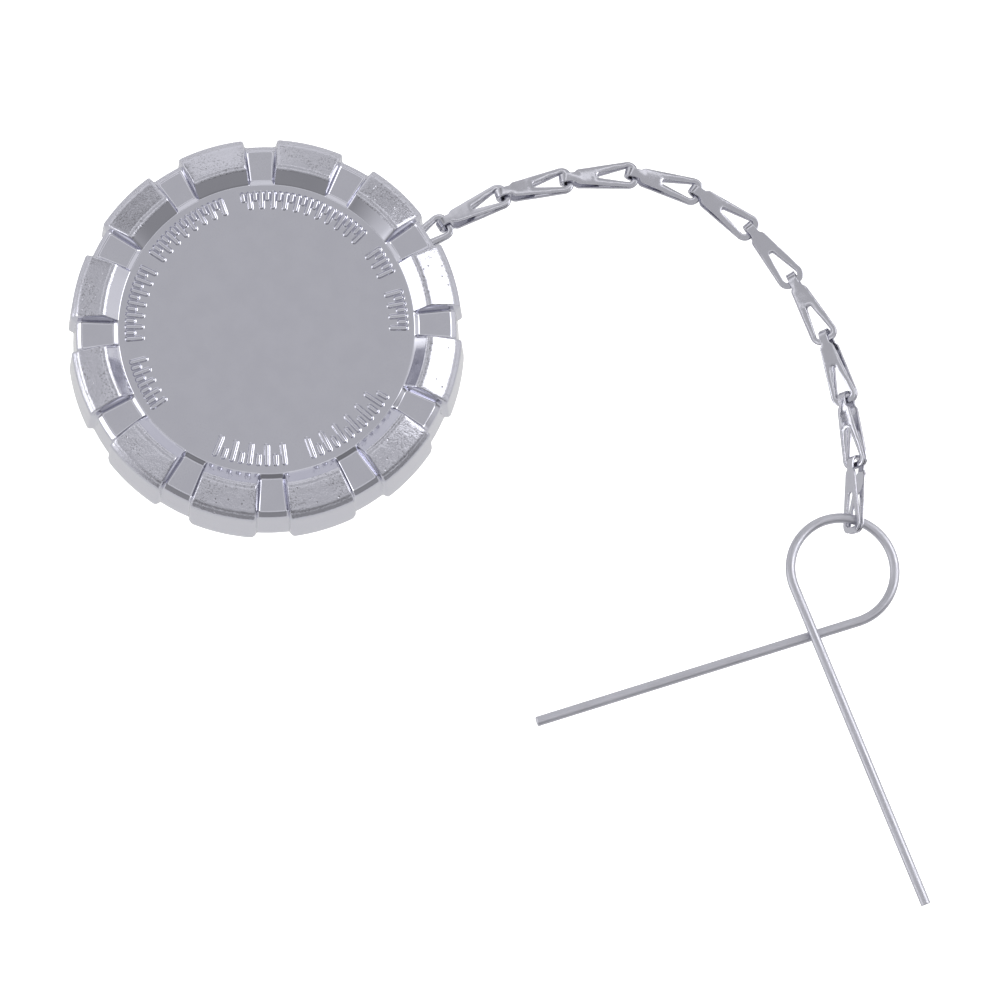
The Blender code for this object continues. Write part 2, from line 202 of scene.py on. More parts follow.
# Chain link, from the bar it hangs on
LINKS = 13
STRIP = 0.8 * MM
WAIST_HALF = 1.3 * MM
WAIST_END = 1.3 * MM
SHOULDER = (2.6 * MM, 2.15 * MM)
WIDEST = (16.9 * MM, 3.88 * MM)
TIP = (19.75 * MM, 1.5 * MM)
HOLE_START = 8.1 * MM
HOLE_START_HALF = 0.75 * MM
HOLE_ROUND = 0.9 * MM  # length of the hole's rounded start
HOLE_FLARE = 0.14 * MM
HOLE_WIDEST = (16.9 * MM, 2.42 * MM)
HOLE_END = (18.15 * MM, 1.2 * MM)
NECK_END = 6.4 * MM
FOLD_BACK = 0.5 * MM
FOLD_MIDDLE_RADIUS = 2.0 * MM
LAYERS_MEET = 16.6 * MM
LAYER_MIDDLE = 0.475 * MM
CROWN = 0.14 * MM  # how far the strip bulges across its width
CROWN_BY_HOLE = 0.6  # the same beside the hole's start, as a share
CROWN_START = 2.0 * MM  # from the bar to where the bulge is full
LINK_EDGE = 0.34 * MM
NECK_ROWS = 4  # rows of points from a link's middle line to its edge, at the neck
SIDE_ROWS = 8
TIP_ROWS = 8
END_ROWS = 3

# Wire clip
WIRE_RADIUS = 1.4 * MM
LOOP_RADIUS = 15.0 * MM
LEG_LENGTH = 96.0 * MM
OVER_LEG = 202.3
UNDER_LEG = -71.8
LINK_ON_LOOP = 77
LOOP_HIGH = 5.46 * MM
LOOP_LOW = 1.8 * MM

# Camera
LENS = 200
SENSOR = 36
CAMERA_TILT = 13.25
CAMERA_DIRECTION = 250.1
VIEW_WIDTH = 282.35 * MM
VIEW_OFFSET = Vector((0.93, 7.66)) * MM  # of the aim from the middle of the parts
FARTHEST_SEEN = 50

# Studio
FLOOR_RADIUS = 6.0
FLOOR_GREY = (0.62, 0.62, 0.62)
FLOOR_GLOW = 0.8  # added to the floor in view, so that shadows stay faint
SWING_ROOM = 250 * MM  # from the object down to the floor
SUN_STRENGTH = 1.2
SUN_WIDTH = 100
SUN_TILT = (-10, 12)
BASE_LIGHT = 0.63
# Light round the object: (azimuth, half width, angle from straight up, half height, edge, light added)
LIGHT_PATCHES = [
    (0, 190, 94, 24, 5, 0.3),
    (100, 122, 37, 3, 3, 0.8),
    (285, 66, 28, 2.5, 3, 0.8),
    (14, 27, 53, 13, 5, 2.6),
    (185, 21, 92, 18, 6, 1.6),
    (104, 12, 61, 10, 8, 0.3),
    (52, 12, 58, 10, 7, -0.16),
    (129, 12, 58, 10, 7, -0.3),
    (280, 62, 86, 24, 14, -0.58),
]


def polar(radius, angle, z=0.0):
    return Vector((radius * math.cos(math.radians(angle)), radius * math.sin(math.radians(angle)), z))


# ---- node helpers ----


def add_node(tree, kind, sockets=None, **settings):
    made = tree.nodes.new("ShaderNode" + kind)
    for name, value in settings.items():
        setattr(made, name, value)
    for name, value in (sockets or {}).items():
        if isinstance(value, bpy.types.NodeSocket):
            tree.links.new(value, made.inputs[name])
        else:
            made.inputs[name].default_value = value
    return made


def combine(tree, operation, first, second=0.0):
    return add_node(tree, "Math", {0: first, 1: second}, operation=operation).outputs[0]


def remap(tree, value, low, high, to_low, to_high):
    """Eases from to_low to to_high while the value goes from low to high."""
    sockets = {"Value": value, "From Min": low, "From Max": high, "To Min": to_low, "To Max": to_high}
    return add_node(tree, "MapRange", sockets, interpolation_type="SMOOTHSTEP").outputs["Result"]


def blend(tree, share, first, second):
    """A colour between two, which are sockets or (red, green, blue, 1)."""
    return add_node(tree, "Mix", {0: share, 6: first, 7: second}, data_type="RGBA").outputs[2]


def degrees(tree, cosine):
    return combine(tree, "MULTIPLY", combine(tree, "ARCCOSINE", cosine), 180 / math.pi)


def noise(tree, place, size, detail=2.0, roughness=0.5):
    """Soft noise from 0 to 1 with features of about that size."""
    sockets = {"Vector": place, "Scale": 1 / size, "Detail": detail, "Roughness": roughness}
    return add_node(tree, "TexNoise", sockets).outputs["Fac"]


def new_material(name, color, metallic=1.0):
    material = bpy.data.materials.new(name)
    material.use_nodes = True
    tree = material.node_tree
    shader = tree.nodes["Principled BSDF"]
    shader.inputs["Base Color"].default_value = (*color, 1)
    shader.inputs["Metallic"].default_value = metallic
    return material, tree, shader


def relief(tree, shader, height):
    """Bump from a height in metres."""
    bump = add_node(tree, "Bump", {"Height": height, "Distance": 1.0, "Strength": 1.0})
    tree.links.new(bump.outputs["Normal"], shader.inputs["Normal"])


# ---- materials ----


def chrome_casting():
    """Bright plate over a casting: grained and pitted where as_cast is 1, almost flat where it is 0."""
    material, tree, shader = new_material("chrome_casting", (0.62, 0.62, 0.69))
    place = add_node(tree, "TexCoord").outputs["Object"]
    cast = add_node(tree, "Attribute", attribute_name="as_cast").outputs["Fac"]
    grain = noise(tree, place, 0.55 * MM, detail=3, roughness=0.65)
    swell = noise(tree, place, 3.2 * MM, detail=2)
    patches = noise(tree, place, 7 * MM, detail=2)
    ripple = noise(tree, place, 9 * MM, detail=1)
    cells = add_node(tree, "TexVoronoi", {"Vector": place, "Scale": 1 / (1.9 * MM)})
    cell_value = add_node(tree, "SeparateColor", {0: cells.outputs["Color"]}).outputs[0]
    pitted = remap(tree, cell_value, 0.6, 0.65, 0, 1)
    pit = combine(tree, "MULTIPLY", remap(tree, cells.outputs["Distance"], 0.04, 0.2, 1, 0), pitted)

    grain_depth = 0.065 * MM
    swell_depth = 0.12 * MM
    pit_depth = 0.1 * MM
    ripple_depth = 0.025 * MM
    rough_height = combine(tree, "MULTIPLY", grain, grain_depth)
    rough_height = combine(tree, "ADD", rough_height, combine(tree, "MULTIPLY", swell, swell_depth))
    rough_height = combine(tree, "SUBTRACT", rough_height, combine(tree, "MULTIPLY", pit, pit_depth))
    fine_height = combine(tree, "MULTIPLY", ripple, ripple_depth)
    height = combine(tree, "ADD", combine(tree, "MULTIPLY", rough_height, cast), fine_height)
    relief(tree, shader, height)

    polish = remap(tree, swell, 0.35, 0.65, 0.05, 0.085)
    frost = combine(tree, "MULTIPLY", cast, remap(tree, grain, 0.3, 0.7, 0.06, 0.16))
    tree.links.new(combine(tree, "ADD", polish, frost), shader.inputs["Roughness"])

    speckled = remap(tree, patches, 0.44, 0.6, 0.1, 0.9)
    speck = combine(tree, "MULTIPLY", remap(tree, grain, 0.36, 0.5, 1, 0), speckled)
    dark = combine(tree, "MULTIPLY", combine(tree, "MAXIMUM", speck, pit), cast)
    share = remap(tree, patches, 0.3, 0.7, 0, 1)
    plate = blend(tree, share, (0.605, 0.605, 0.677, 1), (0.625, 0.625, 0.698, 1))
    tree.links.new(blend(tree, dark, plate, (0.38, 0.38, 0.42, 1)), shader.inputs["Base Color"])
    return material


def chrome_inside():
    """Thin plate inside the casting, duller and slightly grey."""
    material, tree, shader = new_material("chrome_inside", (0.5, 0.5, 0.53))
    place = add_node(tree, "TexCoord").outputs["Object"]
    grain = noise(tree, place, 0.6 * MM, detail=3)
    cloud = noise(tree, place, 9 * MM, detail=3)
    relief(tree, shader, combine(tree, "MULTIPLY", grain, 0.03 * MM))
    tree.links.new(remap(tree, cloud, 0.3, 0.7, 0.25, 0.42), shader.inputs["Roughness"])
    shade = blend(tree, cloud, (0.44, 0.44, 0.46, 1), (0.58, 0.58, 0.62, 1))
    tree.links.new(shade, shader.inputs["Base Color"])
    return material


def bright_steel(name, color, roughness, grain_depth, warp_depth):
    """Plated sheet steel, with fine tumbling marks, slow warps and slightly uneven gloss."""
    material, tree, shader = new_material(name, color)
    place = add_node(tree, "TexCoord").outputs["Object"]
    grain = noise(tree, place, 0.6 * MM, detail=3, roughness=0.6)
    warp = noise(tree, place, 4.5 * MM, detail=1)
    cloud = noise(tree, place, 2.5 * MM, detail=2)
    height = combine(tree, "MULTIPLY", grain, grain_depth)
    relief(tree, shader, combine(tree, "ADD", height, combine(tree, "MULTIPLY", warp, warp_depth)))
    low, high = roughness
    tree.links.new(remap(tree, cloud, 0.35, 0.65, low, high), shader.inputs["Roughness"])
    return material


def drawn_wire():
    """Dull spring wire: the UV map runs u along the wire and v round it, in metres. Fine streaks along it
    are drawing marks in the bump, and lighter in colour as painted highlights.
    """
    material, tree, shader = new_material("spring_wire", (0.5, 0.5, 0.55))
    along = add_node(tree, "UVMap", uv_map="along").outputs["UV"]
    streak_length = 14 * MM
    streak_width = 0.25 * MM
    scale = (1 / streak_length, 1 / streak_width, 1)
    stretched = add_node(tree, "Mapping", {"Vector": along, "Scale": scale})
    streak_and_glint = add_node(tree, "TexNoise", {"Vector": stretched.outputs[0], "Scale": 1.0, "Detail": 4.0})
    streak_and_glint = streak_and_glint.outputs["Fac"]
    place = add_node(tree, "TexCoord").outputs["Object"]
    cloud = noise(tree, place, 6 * MM, detail=3)
    # Lighter colour along the streaks: painted highlights, as fine glints along the wire
    share = combine(tree, "MULTIPLY", streak_and_glint, cloud)
    shade = blend(tree, share, (0.48, 0.48, 0.53, 1), (0.74, 0.74, 0.81, 1))
    tree.links.new(shade, shader.inputs["Base Color"])
    relief(tree, shader, combine(tree, "MULTIPLY", streak_and_glint, 0.02 * MM))
    tree.links.new(remap(tree, cloud, 0.3, 0.7, 0.36, 0.48), shader.inputs["Roughness"])
    return material


def moulded_rubber():
    material, tree, shader = new_material("moulded_rubber", (0.022, 0.022, 0.023), metallic=0)
    place = add_node(tree, "TexCoord").outputs["Object"]
    grain = noise(tree, place, 0.35 * MM, detail=3)
    cloud = noise(tree, place, 6 * MM, detail=3)
    relief(tree, shader, combine(tree, "MULTIPLY", grain, 0.02 * MM))
    tree.links.new(remap(tree, cloud, 0.3, 0.7, 0.5, 0.72), shader.inputs["Roughness"])
    return material


# ---- mesh helpers ----


def mesh_object(name, bm, material, matrix=Matrix.Identity(4), sharp=None):
    bmesh.ops.recalc_face_normals(bm, faces=bm.faces)
    mesh = bpy.data.meshes.new(name)
    bm.to_mesh(mesh)
    bm.free()
    mesh.shade_smooth()
    if sharp:
        mesh.set_sharp_from_angle(angle=math.radians(sharp))
    mesh.materials.append(material)
    made = bpy.data.objects.new(name, mesh)
    made.matrix_world = matrix
    bpy.context.scene.collection.objects.link(made)
    return made


def cut_by(piece, cutters):
    for cutter in cutters:
        boolean = piece.modifiers.new(cutter.name, "BOOLEAN")
        boolean.object = cutter


def round_edges(piece, width):
    bevel = piece.modifiers.new("edges", "BEVEL")
    bevel.width = width
    bevel.segments = 4
    bevel.limit_method = "ANGLE"
    bevel.angle_limit = math.radians(50)


def settle(piece, cutters=()):
    """Applies the piece's modifiers and removes its cutters."""
    graph = bpy.context.evaluated_depsgraph_get()
    mesh = bpy.data.meshes.new_from_object(piece.evaluated_get(graph))
    piece.modifiers.clear()
    piece.data = mesh
    for cutter in cutters:
        bpy.data.objects.remove(cutter)


def stitch(bm, first, second):
    for i in range(len(first)):
        j = (i + 1) % len(first)
        bm.faces.new((first[i], first[j], second[j], second[i]))


def halve(bm, ring, fewer):
    """Joins a ring to one with half its points."""
    for i in range(len(fewer)):
        j = (i + 1) % len(fewer)
        bm.faces.new((ring[2 * i], ring[2 * i + 1], fewer[i]))
        bm.faces.new((ring[2 * i + 1], ring[(2 * i + 2) % len(ring)], fewer[j], fewer[i]))


def fan(bm, ring, centre):
    middle = bm.verts.new(centre)
    for i in range(len(ring)):
        bm.faces.new((ring[i - 1], ring[i], middle))


def softened(corners, cuts, arc_steps, run_steps):
    """A polyline with its inner corners rounded: cuts gives how far from each corner the round begins."""
    points = [Vector(corners[0])]
    for i in range(1, len(corners)):
        corner = Vector(corners[i])
        start = points[-1]
        before = (Vector(corners[i - 1]) - corner).normalized()
        last = i == len(corners) - 1
        arc_start = corner if last else corner + before * cuts[i - 1]
        points += [start.lerp(arc_start, k / run_steps[i - 1]) for k in range(1, run_steps[i - 1] + 1)]
        if last:
            break
        after = (Vector(corners[i + 1]) - corner).normalized()
        arc_end = corner + after * cuts[i - 1]
        for k in range(1, arc_steps[i - 1] + 1):
            t = k / arc_steps[i - 1]
            points.append(arc_start.lerp(corner, t).lerp(corner.lerp(arc_end, t), t))
    return points


def turned(name, outline, steps, material, matrix):
    """A turned solid: outline is a closed loop of (radius, height), radius 0 only at its two ends."""
    bm = bmesh.new()
    angles = [360 * k / steps for k in range(steps)]
    rings = [[bm.verts.new(polar(radius, a, z)) for a in angles] for radius, z in outline if radius > 0]
    for first, second in zip(rings, rings[1:]):
        stitch(bm, first, second)
    if outline[0][0] > 0:
        stitch(bm, rings[-1], rings[0])
    else:
        fan(bm, rings[0], (0, 0, outline[0][1]))
        fan(bm, rings[-1], (0, 0, outline[-1][1]))
    return mesh_object(name, bm, material, matrix, sharp=40)


def rounded_ring(inner, outer, bottom, top, edge):
    """The section of a flat ring with rounded edges."""
    corners = [(inner, bottom), (outer, bottom), (outer, top), (inner, top)]
    outline = []
    for i, corner in enumerate(corners):
        corner = Vector(corner)
        before = (Vector(corners[i - 1]) - corner).normalized() * edge
        after = (Vector(corners[(i + 1) % 4]) - corner).normalized() * edge
        for k in range(EDGE_STEPS + 1):
            t = k / EDGE_STEPS
            a = corner + before * (1 - t)
            b = corner + after * t
            outline.append(tuple(a.lerp(b, t)))
    return outline


def show(piece, body, slot, *nodes):
    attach(piece, body)
    if nodes:
        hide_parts(*nodes)


# ---- cap casting ----


def cap_matrix():
    """The cap's frame, from the swivel's axis and the place of the first link."""
    swivel = JOINTS["swivel_turn"]
    up = Vector(swivel["axis"]).normalized()
    bar = Vector(JOINTS["hinge_01"]["pos_m"]) - Vector(swivel["pos_m"])
    out = (bar - up * bar.dot(up)).normalized()
    basis = Matrix((out, up.cross(out), up)).transposed().to_4x4()
    return basis @ Matrix.Rotation(math.radians(-CHAIN_DIRECTION), 4, "Z")


def fillet_columns(start, end, low, high, at_foot):
    """Columns through one fillet of a lobe's side: (angle, share of the lobe's height)."""
    found = []
    for k in range(1, FILLET_COLUMNS + 1):
        turn = math.radians(90 * k / FILLET_COLUMNS)
        slow = 1 - math.cos(turn)
        fast = math.sin(turn)
        across, rise = (fast, slow) if at_foot else (slow, fast)
        found.append((start + (end - start) * across, low + (high - low) * rise))
    return found


def half_columns():
    """From a notch's middle to a lobe's middle: (angle, 0 in the notch to 1 on the lobe)."""
    columns = [(FLOOR_HALF * k / FLOOR_COLUMNS, 0.0) for k in range(FLOOR_COLUMNS + 1)]
    columns += fillet_columns(FLOOR_HALF, WALL_START, 0.0, WALL_FOOT, at_foot=True)
    columns.append((WALL_END, WALL_TOP))
    columns += fillet_columns(WALL_END, LOBE_EDGE, WALL_TOP, 1.0, at_foot=False)
    half_top = LOBE_PITCH / 2 - LOBE_EDGE
    columns += [(LOBE_EDGE + half_top * k / LOBE_COLUMNS, 1.0) for k in range(1, LOBE_COLUMNS + 1)]
    return columns


def all_columns():
    """(notch's middle, offset from it, weight) all round the cap."""
    right = half_columns()
    left = [(-angle, weight) for angle, weight in right[1:-1]][::-1]
    period = left + right
    return [(FIRST_NOTCH + lobe * LOBE_PITCH, *column) for lobe in range(LOBES) for column in period]


def foot_shift(z):
    """How far a lobe's side gives way towards the rim, which rounds its lower corner."""
    below = min(max((FOOT_CORNER_HEIGHT - z) / FOOT_CORNER, 0.0), 1.0)
    return FOOT_CORNER_WIDTH * (1 - math.sqrt(1 - below * below))


def shifted(offset, shift):
    """Moves a column outwards from the notch: its floor stretches, and the lobe's top gives way."""
    size = abs(offset)
    half = LOBE_PITCH / 2
    if size <= FLOOR_HALF:
        moved = size * (FLOOR_HALF + shift) / FLOOR_HALF
    elif size <= LOBE_EDGE:
        moved = size + shift
    else:
        moved = half - (half - size) * (half - LOBE_EDGE - shift) / (half - LOBE_EDGE)
    return math.copysign(moved, offset)


def run_start(number):
    """The first profile point of a straight run."""
    return sum(RUN_STEPS[:number]) + sum(ARC_STEPS[:number])


def outer_rings(bm, columns):
    lobe = softened(LOBE_CORNERS, LOBE_CUTS, ARC_STEPS, RUN_STEPS)
    notch = softened(NOTCH_CORNERS, NOTCH_CUTS, ARC_STEPS, RUN_STEPS)
    cast = bm.verts.layers.float.new("as_cast")
    top_from, rim_from, side_from = (run_start(run) for run in (TOP_RUN, RIM_RUN, SIDE_RUN))
    rings = []
    for index, (on_lobe, in_notch) in enumerate(zip(lobe, notch)):
        ring = []
        for middle, offset, weight in columns:
            radius, z = in_notch.lerp(on_lobe, weight) * MM
            vert = bm.verts.new(polar(radius, middle + shifted(offset, foot_shift(z)), z))
            if top_from - ARC_STEPS[TOP_RUN - 1] <= index <= side_from:
                on_top = CAST_RIM if index > rim_from else CAST_TOP
                vert[cast] = on_top if weight > ON_LOBE else CAST_SIDE
            elif index > side_from:
                vert[cast] = CAST_SKIRT
            ring.append(vert)
        rings.append(ring)
    return rings


def thread_radius(angle, height):
    """A right-handed thread with rounded crests, fading out at both ends."""
    phase = (height / THREAD_PITCH - angle / 360) % 1
    wave = 0.5 + 0.5 * math.cos(2 * math.pi * phase)
    top = THREAD_START + THREAD_TURNS * THREAD_PITCH
    fade = min((height - THREAD_START) / MM, (top - height) / MM, 1.0)
    middle = (THREAD_CREST + THREAD_ROOT) / 2
    ridge = THREAD_ROOT - (THREAD_ROOT - THREAD_CREST) * (1 - wave)
    return middle + (ridge - middle) * max(fade, 0.0)


def inner_rings(bm, columns):
    """Rings from the mouth up the thread, over the ceiling and down the boss to its blind hole."""
    angles = [middle + offset for middle, offset, _ in columns]

    def plain(radius, z):
        return [bm.verts.new(polar(radius, a, z)) for a in angles]

    rings = [plain(MOUTH_RADIUS, RIM + MOUTH_STEP)]
    rows = THREAD_TURNS * THREAD_ROWS
    for row in range(rows + 1):
        height = THREAD_START + row * THREAD_PITCH / THREAD_ROWS
        rings.append([bm.verts.new(polar(thread_radius(a, height), a, RIM + height)) for a in angles])
    thread_end = RIM + THREAD_START + THREAD_TURNS * THREAD_PITCH
    corners = [
        (THREAD_CREST, thread_end + THREAD_RELIEF),
        (THREAD_CREST, CEILING),
        (BOSS_TOP_RADIUS, CEILING),
        (BOSS_RADIUS, BOSS_END),
        (SHANK_HOLE, BOSS_END),
        (SHANK_HOLE, SHANK_HOLE_TOP),
    ]
    cuts = [CEILING_CORNER, BOSS_FILLET, BOSS_EDGE, HOLE_EDGE]
    arc_steps = [4, 5, 3, 2]
    run_steps = [2, 4, 2, 1, 2]
    for radius, z in softened(corners, cuts, arc_steps, run_steps):
        rings.append(plain(radius, z))
    return rings


def cap_casting(materials, matrix):
    """One closed casting: disc, lobes and skirt outside, thread, ceiling and boss inside."""
    bm = bmesh.new()
    columns = all_columns()
    outside = outer_rings(bm, columns)
    for first, second in zip(outside, outside[1:]):
        stitch(bm, first, second)
    ring, fewer_columns = outside[0], columns
    cast = bm.verts.layers.float["as_cast"]
    for radius, roughened in DISC_RINGS:
        fewer_columns = fewer_columns[::2]
        smaller = [bm.verts.new(polar(radius, middle + offset)) for middle, offset, _ in fewer_columns]
        for vert in smaller:
            vert[cast] = roughened
        halve(bm, ring, smaller)
        ring = smaller
    fan(bm, ring, (0, 0, 0))

    first_inner = len(bm.faces)
    inside = inner_rings(bm, columns[::2])
    halve(bm, outside[-1], inside[0])
    for first, second in zip(inside, inside[1:]):
        stitch(bm, first, second)
    fan(bm, inside[-1], (0, 0, SHANK_HOLE_TOP))
    bm.faces.ensure_lookup_table()
    for face in bm.faces[first_inner:]:
        face.material_index = 1
    casting = mesh_object("cap_body", bm, materials["chrome"], matrix, sharp=50)
    casting.data.materials.append(materials["chrome_inside"])
    show(casting, "cap", "chrome_casting", "cap_casting")


def mark_outline(half_length, half_width, grow):
    """A bar with round ends, seen from above, grown outwards by grow."""
    end_steps = 6
    thinnest = 0.02 * MM
    radius = max(half_width + grow, thinnest)
    straight = half_length - half_width
    points = []
    for side in (1, -1):
        for k in range(end_steps + 1):
            angle = -90 + 180 * k / end_steps + (0 if side > 0 else 180)
            points.append(polar(radius, angle) + Vector((side * straight, 0, 0)))
    return points


def scale_marks(material, matrix):
    """Plain raised bars round the polished disc, like the divisions of a dial."""
    bm = bmesh.new()
    cast = bm.verts.layers.float.new("as_cast")
    for start, end, (inner, outer, step) in MARK_ZONES:
        count = round((end - start) / step) + 1
        for number in range(count):
            angle = start + (end - start) * number / (count - 1)
            length = (outer - inner) * (SHORT_MARK if number % 2 else 1.0)
            turn = Matrix.Rotation(math.radians(angle), 4, "Z")
            place = turn @ Matrix.Translation((outer - length / 2, 0, 0))
            loops = []
            for grow, height in MARK_FOOT + MARK_CROWN:
                outline = mark_outline(length / 2, MARK_HALF_WIDTH, grow * MM)
                loops.append([bm.verts.new(place @ (p + Vector((0, 0, height * MM)))) for p in outline])
            for first, second in zip(loops, loops[1:]):
                stitch(bm, first, second)
            bm.faces.new(loops[0])
            bm.faces.new(loops[-1])
    for vert in bm.verts:
        vert[cast] = CAST_MARKS
    show(mesh_object("scale_marks", bm, material, matrix, sharp=60), "cap", "chrome_casting")


# ---- gasket and swivel ----


def gasket(material, matrix):
    """A flat ring with rounded edges and two shallow grooves in its sealing face."""
    outline = rounded_ring(GASKET_INNER, GASKET_OUTER, GASKET_BOTTOM, GASKET_TOP, GASKET_EDGE)
    grooves = []
    for middle in GROOVE_MIDDLES:
        for offset, depth in GROOVE_SECTION:
            grooves.append((middle + offset * MM, GASKET_BOTTOM + depth * MM))
    corner_points = EDGE_STEPS + 1
    outline = outline[:corner_points] + grooves + outline[corner_points:]
    ring = turned("seal_ring", outline, GASKET_SIDES, material, matrix)
    show(ring, "cap", "seal_rubber", "seal_gasket")


def swivel(materials, matrix):
    steel = materials["plated"]
    for name, top in (("upper_washer", UPPER_WASHER_TOP), ("lower_washer", LOWER_WASHER_TOP)):
        outline = rounded_ring(WASHER_HOLE, WASHER_RADIUS, top - WASHER_THICKNESS, top, WASHER_EDGE)
        washer = turned(name + "_plate", outline, TURNED_SIDES, steel, matrix)
        show(washer, "cap", "plated_steel", name)
    screw(steel, matrix)
    eye(steel, matrix)


def screw(material, matrix):
    """A shoulder screw: its blind end, its shank and a domed head with a slot."""
    head_end = HEAD_TOP - HEAD_HEIGHT
    core = 0.3 * MM  # radius of the flat middle of both ends
    corners = [
        (core, SHANK_END),
        (SHANK_RADIUS, SHANK_END),
        (SHANK_RADIUS, HEAD_TOP),
        (HEAD_RADIUS, HEAD_TOP),
        (HEAD_RADIUS, head_end),
        (core, head_end),
    ]
    cuts = [0.3 * MM, 0.05 * MM, 0.15 * MM, 0.55 * MM]
    arc_steps = [3, 1, 3, 5]
    run_steps = [1, 2, 1, 2, 3]
    outline = [tuple(p) for p in softened(corners, cuts, arc_steps, run_steps)]
    outline = [(0, SHANK_END), *outline, (0, head_end)]
    made = turned("shoulder_screw", outline, TURNED_SIDES, material, matrix)
    slot = bmesh.new()
    slot_size = Matrix.Diagonal((3 * HEAD_RADIUS, SLOT_WIDTH, 2 * SLOT_DEPTH, 1))
    bmesh.ops.create_cube(slot, size=1, matrix=Matrix.Translation((0, 0, head_end)) @ slot_size)
    cutters = [mesh_object("slot_cutter", slot, material, matrix)]
    cut_by(made, cutters)
    settle(made, cutters)
    made.data.set_sharp_from_angle(angle=math.radians(40))
    show(made, "cap", "plated_steel", "swivel_screw")


def eye(material, matrix):
    """The plate that turns under the cap: a ring drawn out to a bar, with a window beside it."""
    bm = bmesh.new()
    spread = math.degrees(math.asin(EYE_HALF_WIDTH / EYE_RING))
    steps = 40
    turn = 360 - 2 * spread
    outline = [polar(EYE_RING, spread + turn * k / steps) for k in range(steps + 1)]
    corner = 1.2 * MM
    corner_steps = 6
    for side in (-1, 1):
        middle = Vector((EYE_END - corner, side * (EYE_HALF_WIDTH - corner), 0))
        start = -90 if side < 0 else 0
        outline += [middle + polar(corner, start + 90 * k / corner_steps) for k in range(corner_steps + 1)]
    plate = bm.faces.new([bm.verts.new(p) for p in outline])
    raised = bmesh.ops.extrude_face_region(bm, geom=[plate])
    moved = [part for part in raised["geom"] if isinstance(part, bmesh.types.BMVert)]
    bmesh.ops.translate(bm, verts=moved, vec=(0, 0, EYE_THICKNESS))
    lift = Matrix.Translation((0, 0, EYE_TOP - EYE_THICKNESS))
    place = matrix @ Matrix.Rotation(math.radians(CHAIN_DIRECTION), 4, "Z") @ lift
    made = mesh_object("swivel_plate", bm, material, place)

    above = 2 * EYE_THICKNESS
    below = -EYE_THICKNESS
    bore = [(0, above), (WASHER_HOLE, above), (WASHER_HOLE, below), (0, below)]
    cutters = [turned("bore_cutter", bore, TURNED_SIDES, material, place)]
    window_start, window_end, window_half = EYE_WINDOW
    size = (window_end - window_start, 2 * window_half, 4 * EYE_THICKNESS, 1)
    middle = Matrix.Translation(((window_start + window_end) / 2, 0, 0))
    window = bmesh.new()
    bmesh.ops.create_cube(window, size=1, matrix=middle @ Matrix.Diagonal(size))
    cutters.append(mesh_object("window_cutter", window, material, place))
    cut_by(made, cutters)
    round_edges(made, EYE_EDGE)
    settle(made, cutters)
    show(made, "swivel", "plated_steel", "swivel_eye")


# ---- chain ----


def between(start, end, steps, rounded=False):
    """Points from start to end, without start: straight, or bent outwards like part of an ellipse."""
    a, b = Vector(start), Vector(end)
    found = []
    for k in range(1, steps + 1):
        t = k / steps
        if rounded:
            turn = math.radians(90 * t)
            found.append(Vector((a.x + (b.x - a.x) * math.sin(turn), b.y + (a.y - b.y) * math.cos(turn))))
        else:
            found.append(a.lerp(b, t))
    return found


def half_loops():
    """One half of a link's hole and of its outline, point for point, from the neck to the tip."""
    shoulder = Vector(SHOULDER)
    widest = Vector(WIDEST)
    neck_half = shoulder.lerp(widest, (NECK_END - shoulder.x) / (widest.x - shoulder.x)).y
    outline = [Vector((NECK_END, 0))]
    outline += between((NECK_END, 0), (NECK_END, neck_half), NECK_ROWS)
    outline += between((NECK_END, neck_half), WIDEST, SIDE_ROWS)
    outline += between(WIDEST, TIP, TIP_ROWS, rounded=True)
    outline += between(TIP, (TIP[0], 0), END_ROWS)
    hole_shoulder = (HOLE_START + HOLE_ROUND, HOLE_START_HALF + HOLE_FLARE)
    hole = [Vector((HOLE_START, 0))]
    start = Vector((HOLE_START, 0))
    for k in range(1, NECK_ROWS + 1):
        turn = math.radians(90 * k / NECK_ROWS)
        hole.append(start + Vector((HOLE_ROUND * (1 - math.cos(turn)), hole_shoulder[1] * math.sin(turn))))
    hole += between(hole_shoulder, HOLE_WIDEST, SIDE_ROWS)
    hole += between(HOLE_WIDEST, HOLE_END, TIP_ROWS, rounded=True)
    hole += between(HOLE_END, (HOLE_END[0], 0), END_ROWS)
    return hole, outline


def layer_height(x):
    along = min(max(x / LAYERS_MEET, 0.0), 1.0)
    return FOLD_MIDDLE_RADIUS + (LAYER_MIDDLE - FOLD_MIDDLE_RADIUS) * along


def waist_half(x):
    """Half width of the strip between the fold and the neck's end."""
    shoulder = Vector(SHOULDER)
    widest = Vector(WIDEST)
    if x >= shoulder.x:
        return shoulder.lerp(widest, (x - shoulder.x) / (widest.x - shoulder.x)).y
    along = min(max((x - WAIST_END) / (shoulder.x - WAIST_END), 0.0), 1.0)
    return WAIST_HALF + (shoulder.y - WAIST_HALF) * along * along * (3 - 2 * along)


def neck_stations():
    """(place of the strip's middle, half width) from one neck end, round the fold, to the other."""
    steps = 12
    xs = [NECK_END * (1 - k / steps) for k in range(1, steps + 1)] + [-FOLD_BACK]
    upper = [(Vector((x, 0, layer_height(x))), waist_half(x)) for x in xs]
    bend = []
    bend_steps = 12
    for k in range(1, bend_steps):
        turn = math.radians(90 + 180 * k / bend_steps)
        round_fold = Vector((math.cos(turn), 0, math.sin(turn))) * FOLD_MIDDLE_RADIUS
        bend.append((round_fold - Vector((FOLD_BACK, 0, 0)), WAIST_HALF))
    lower = [(Vector((p.x, 0, -p.z)), half) for p, half in reversed(upper)]
    return upper + bend + lower


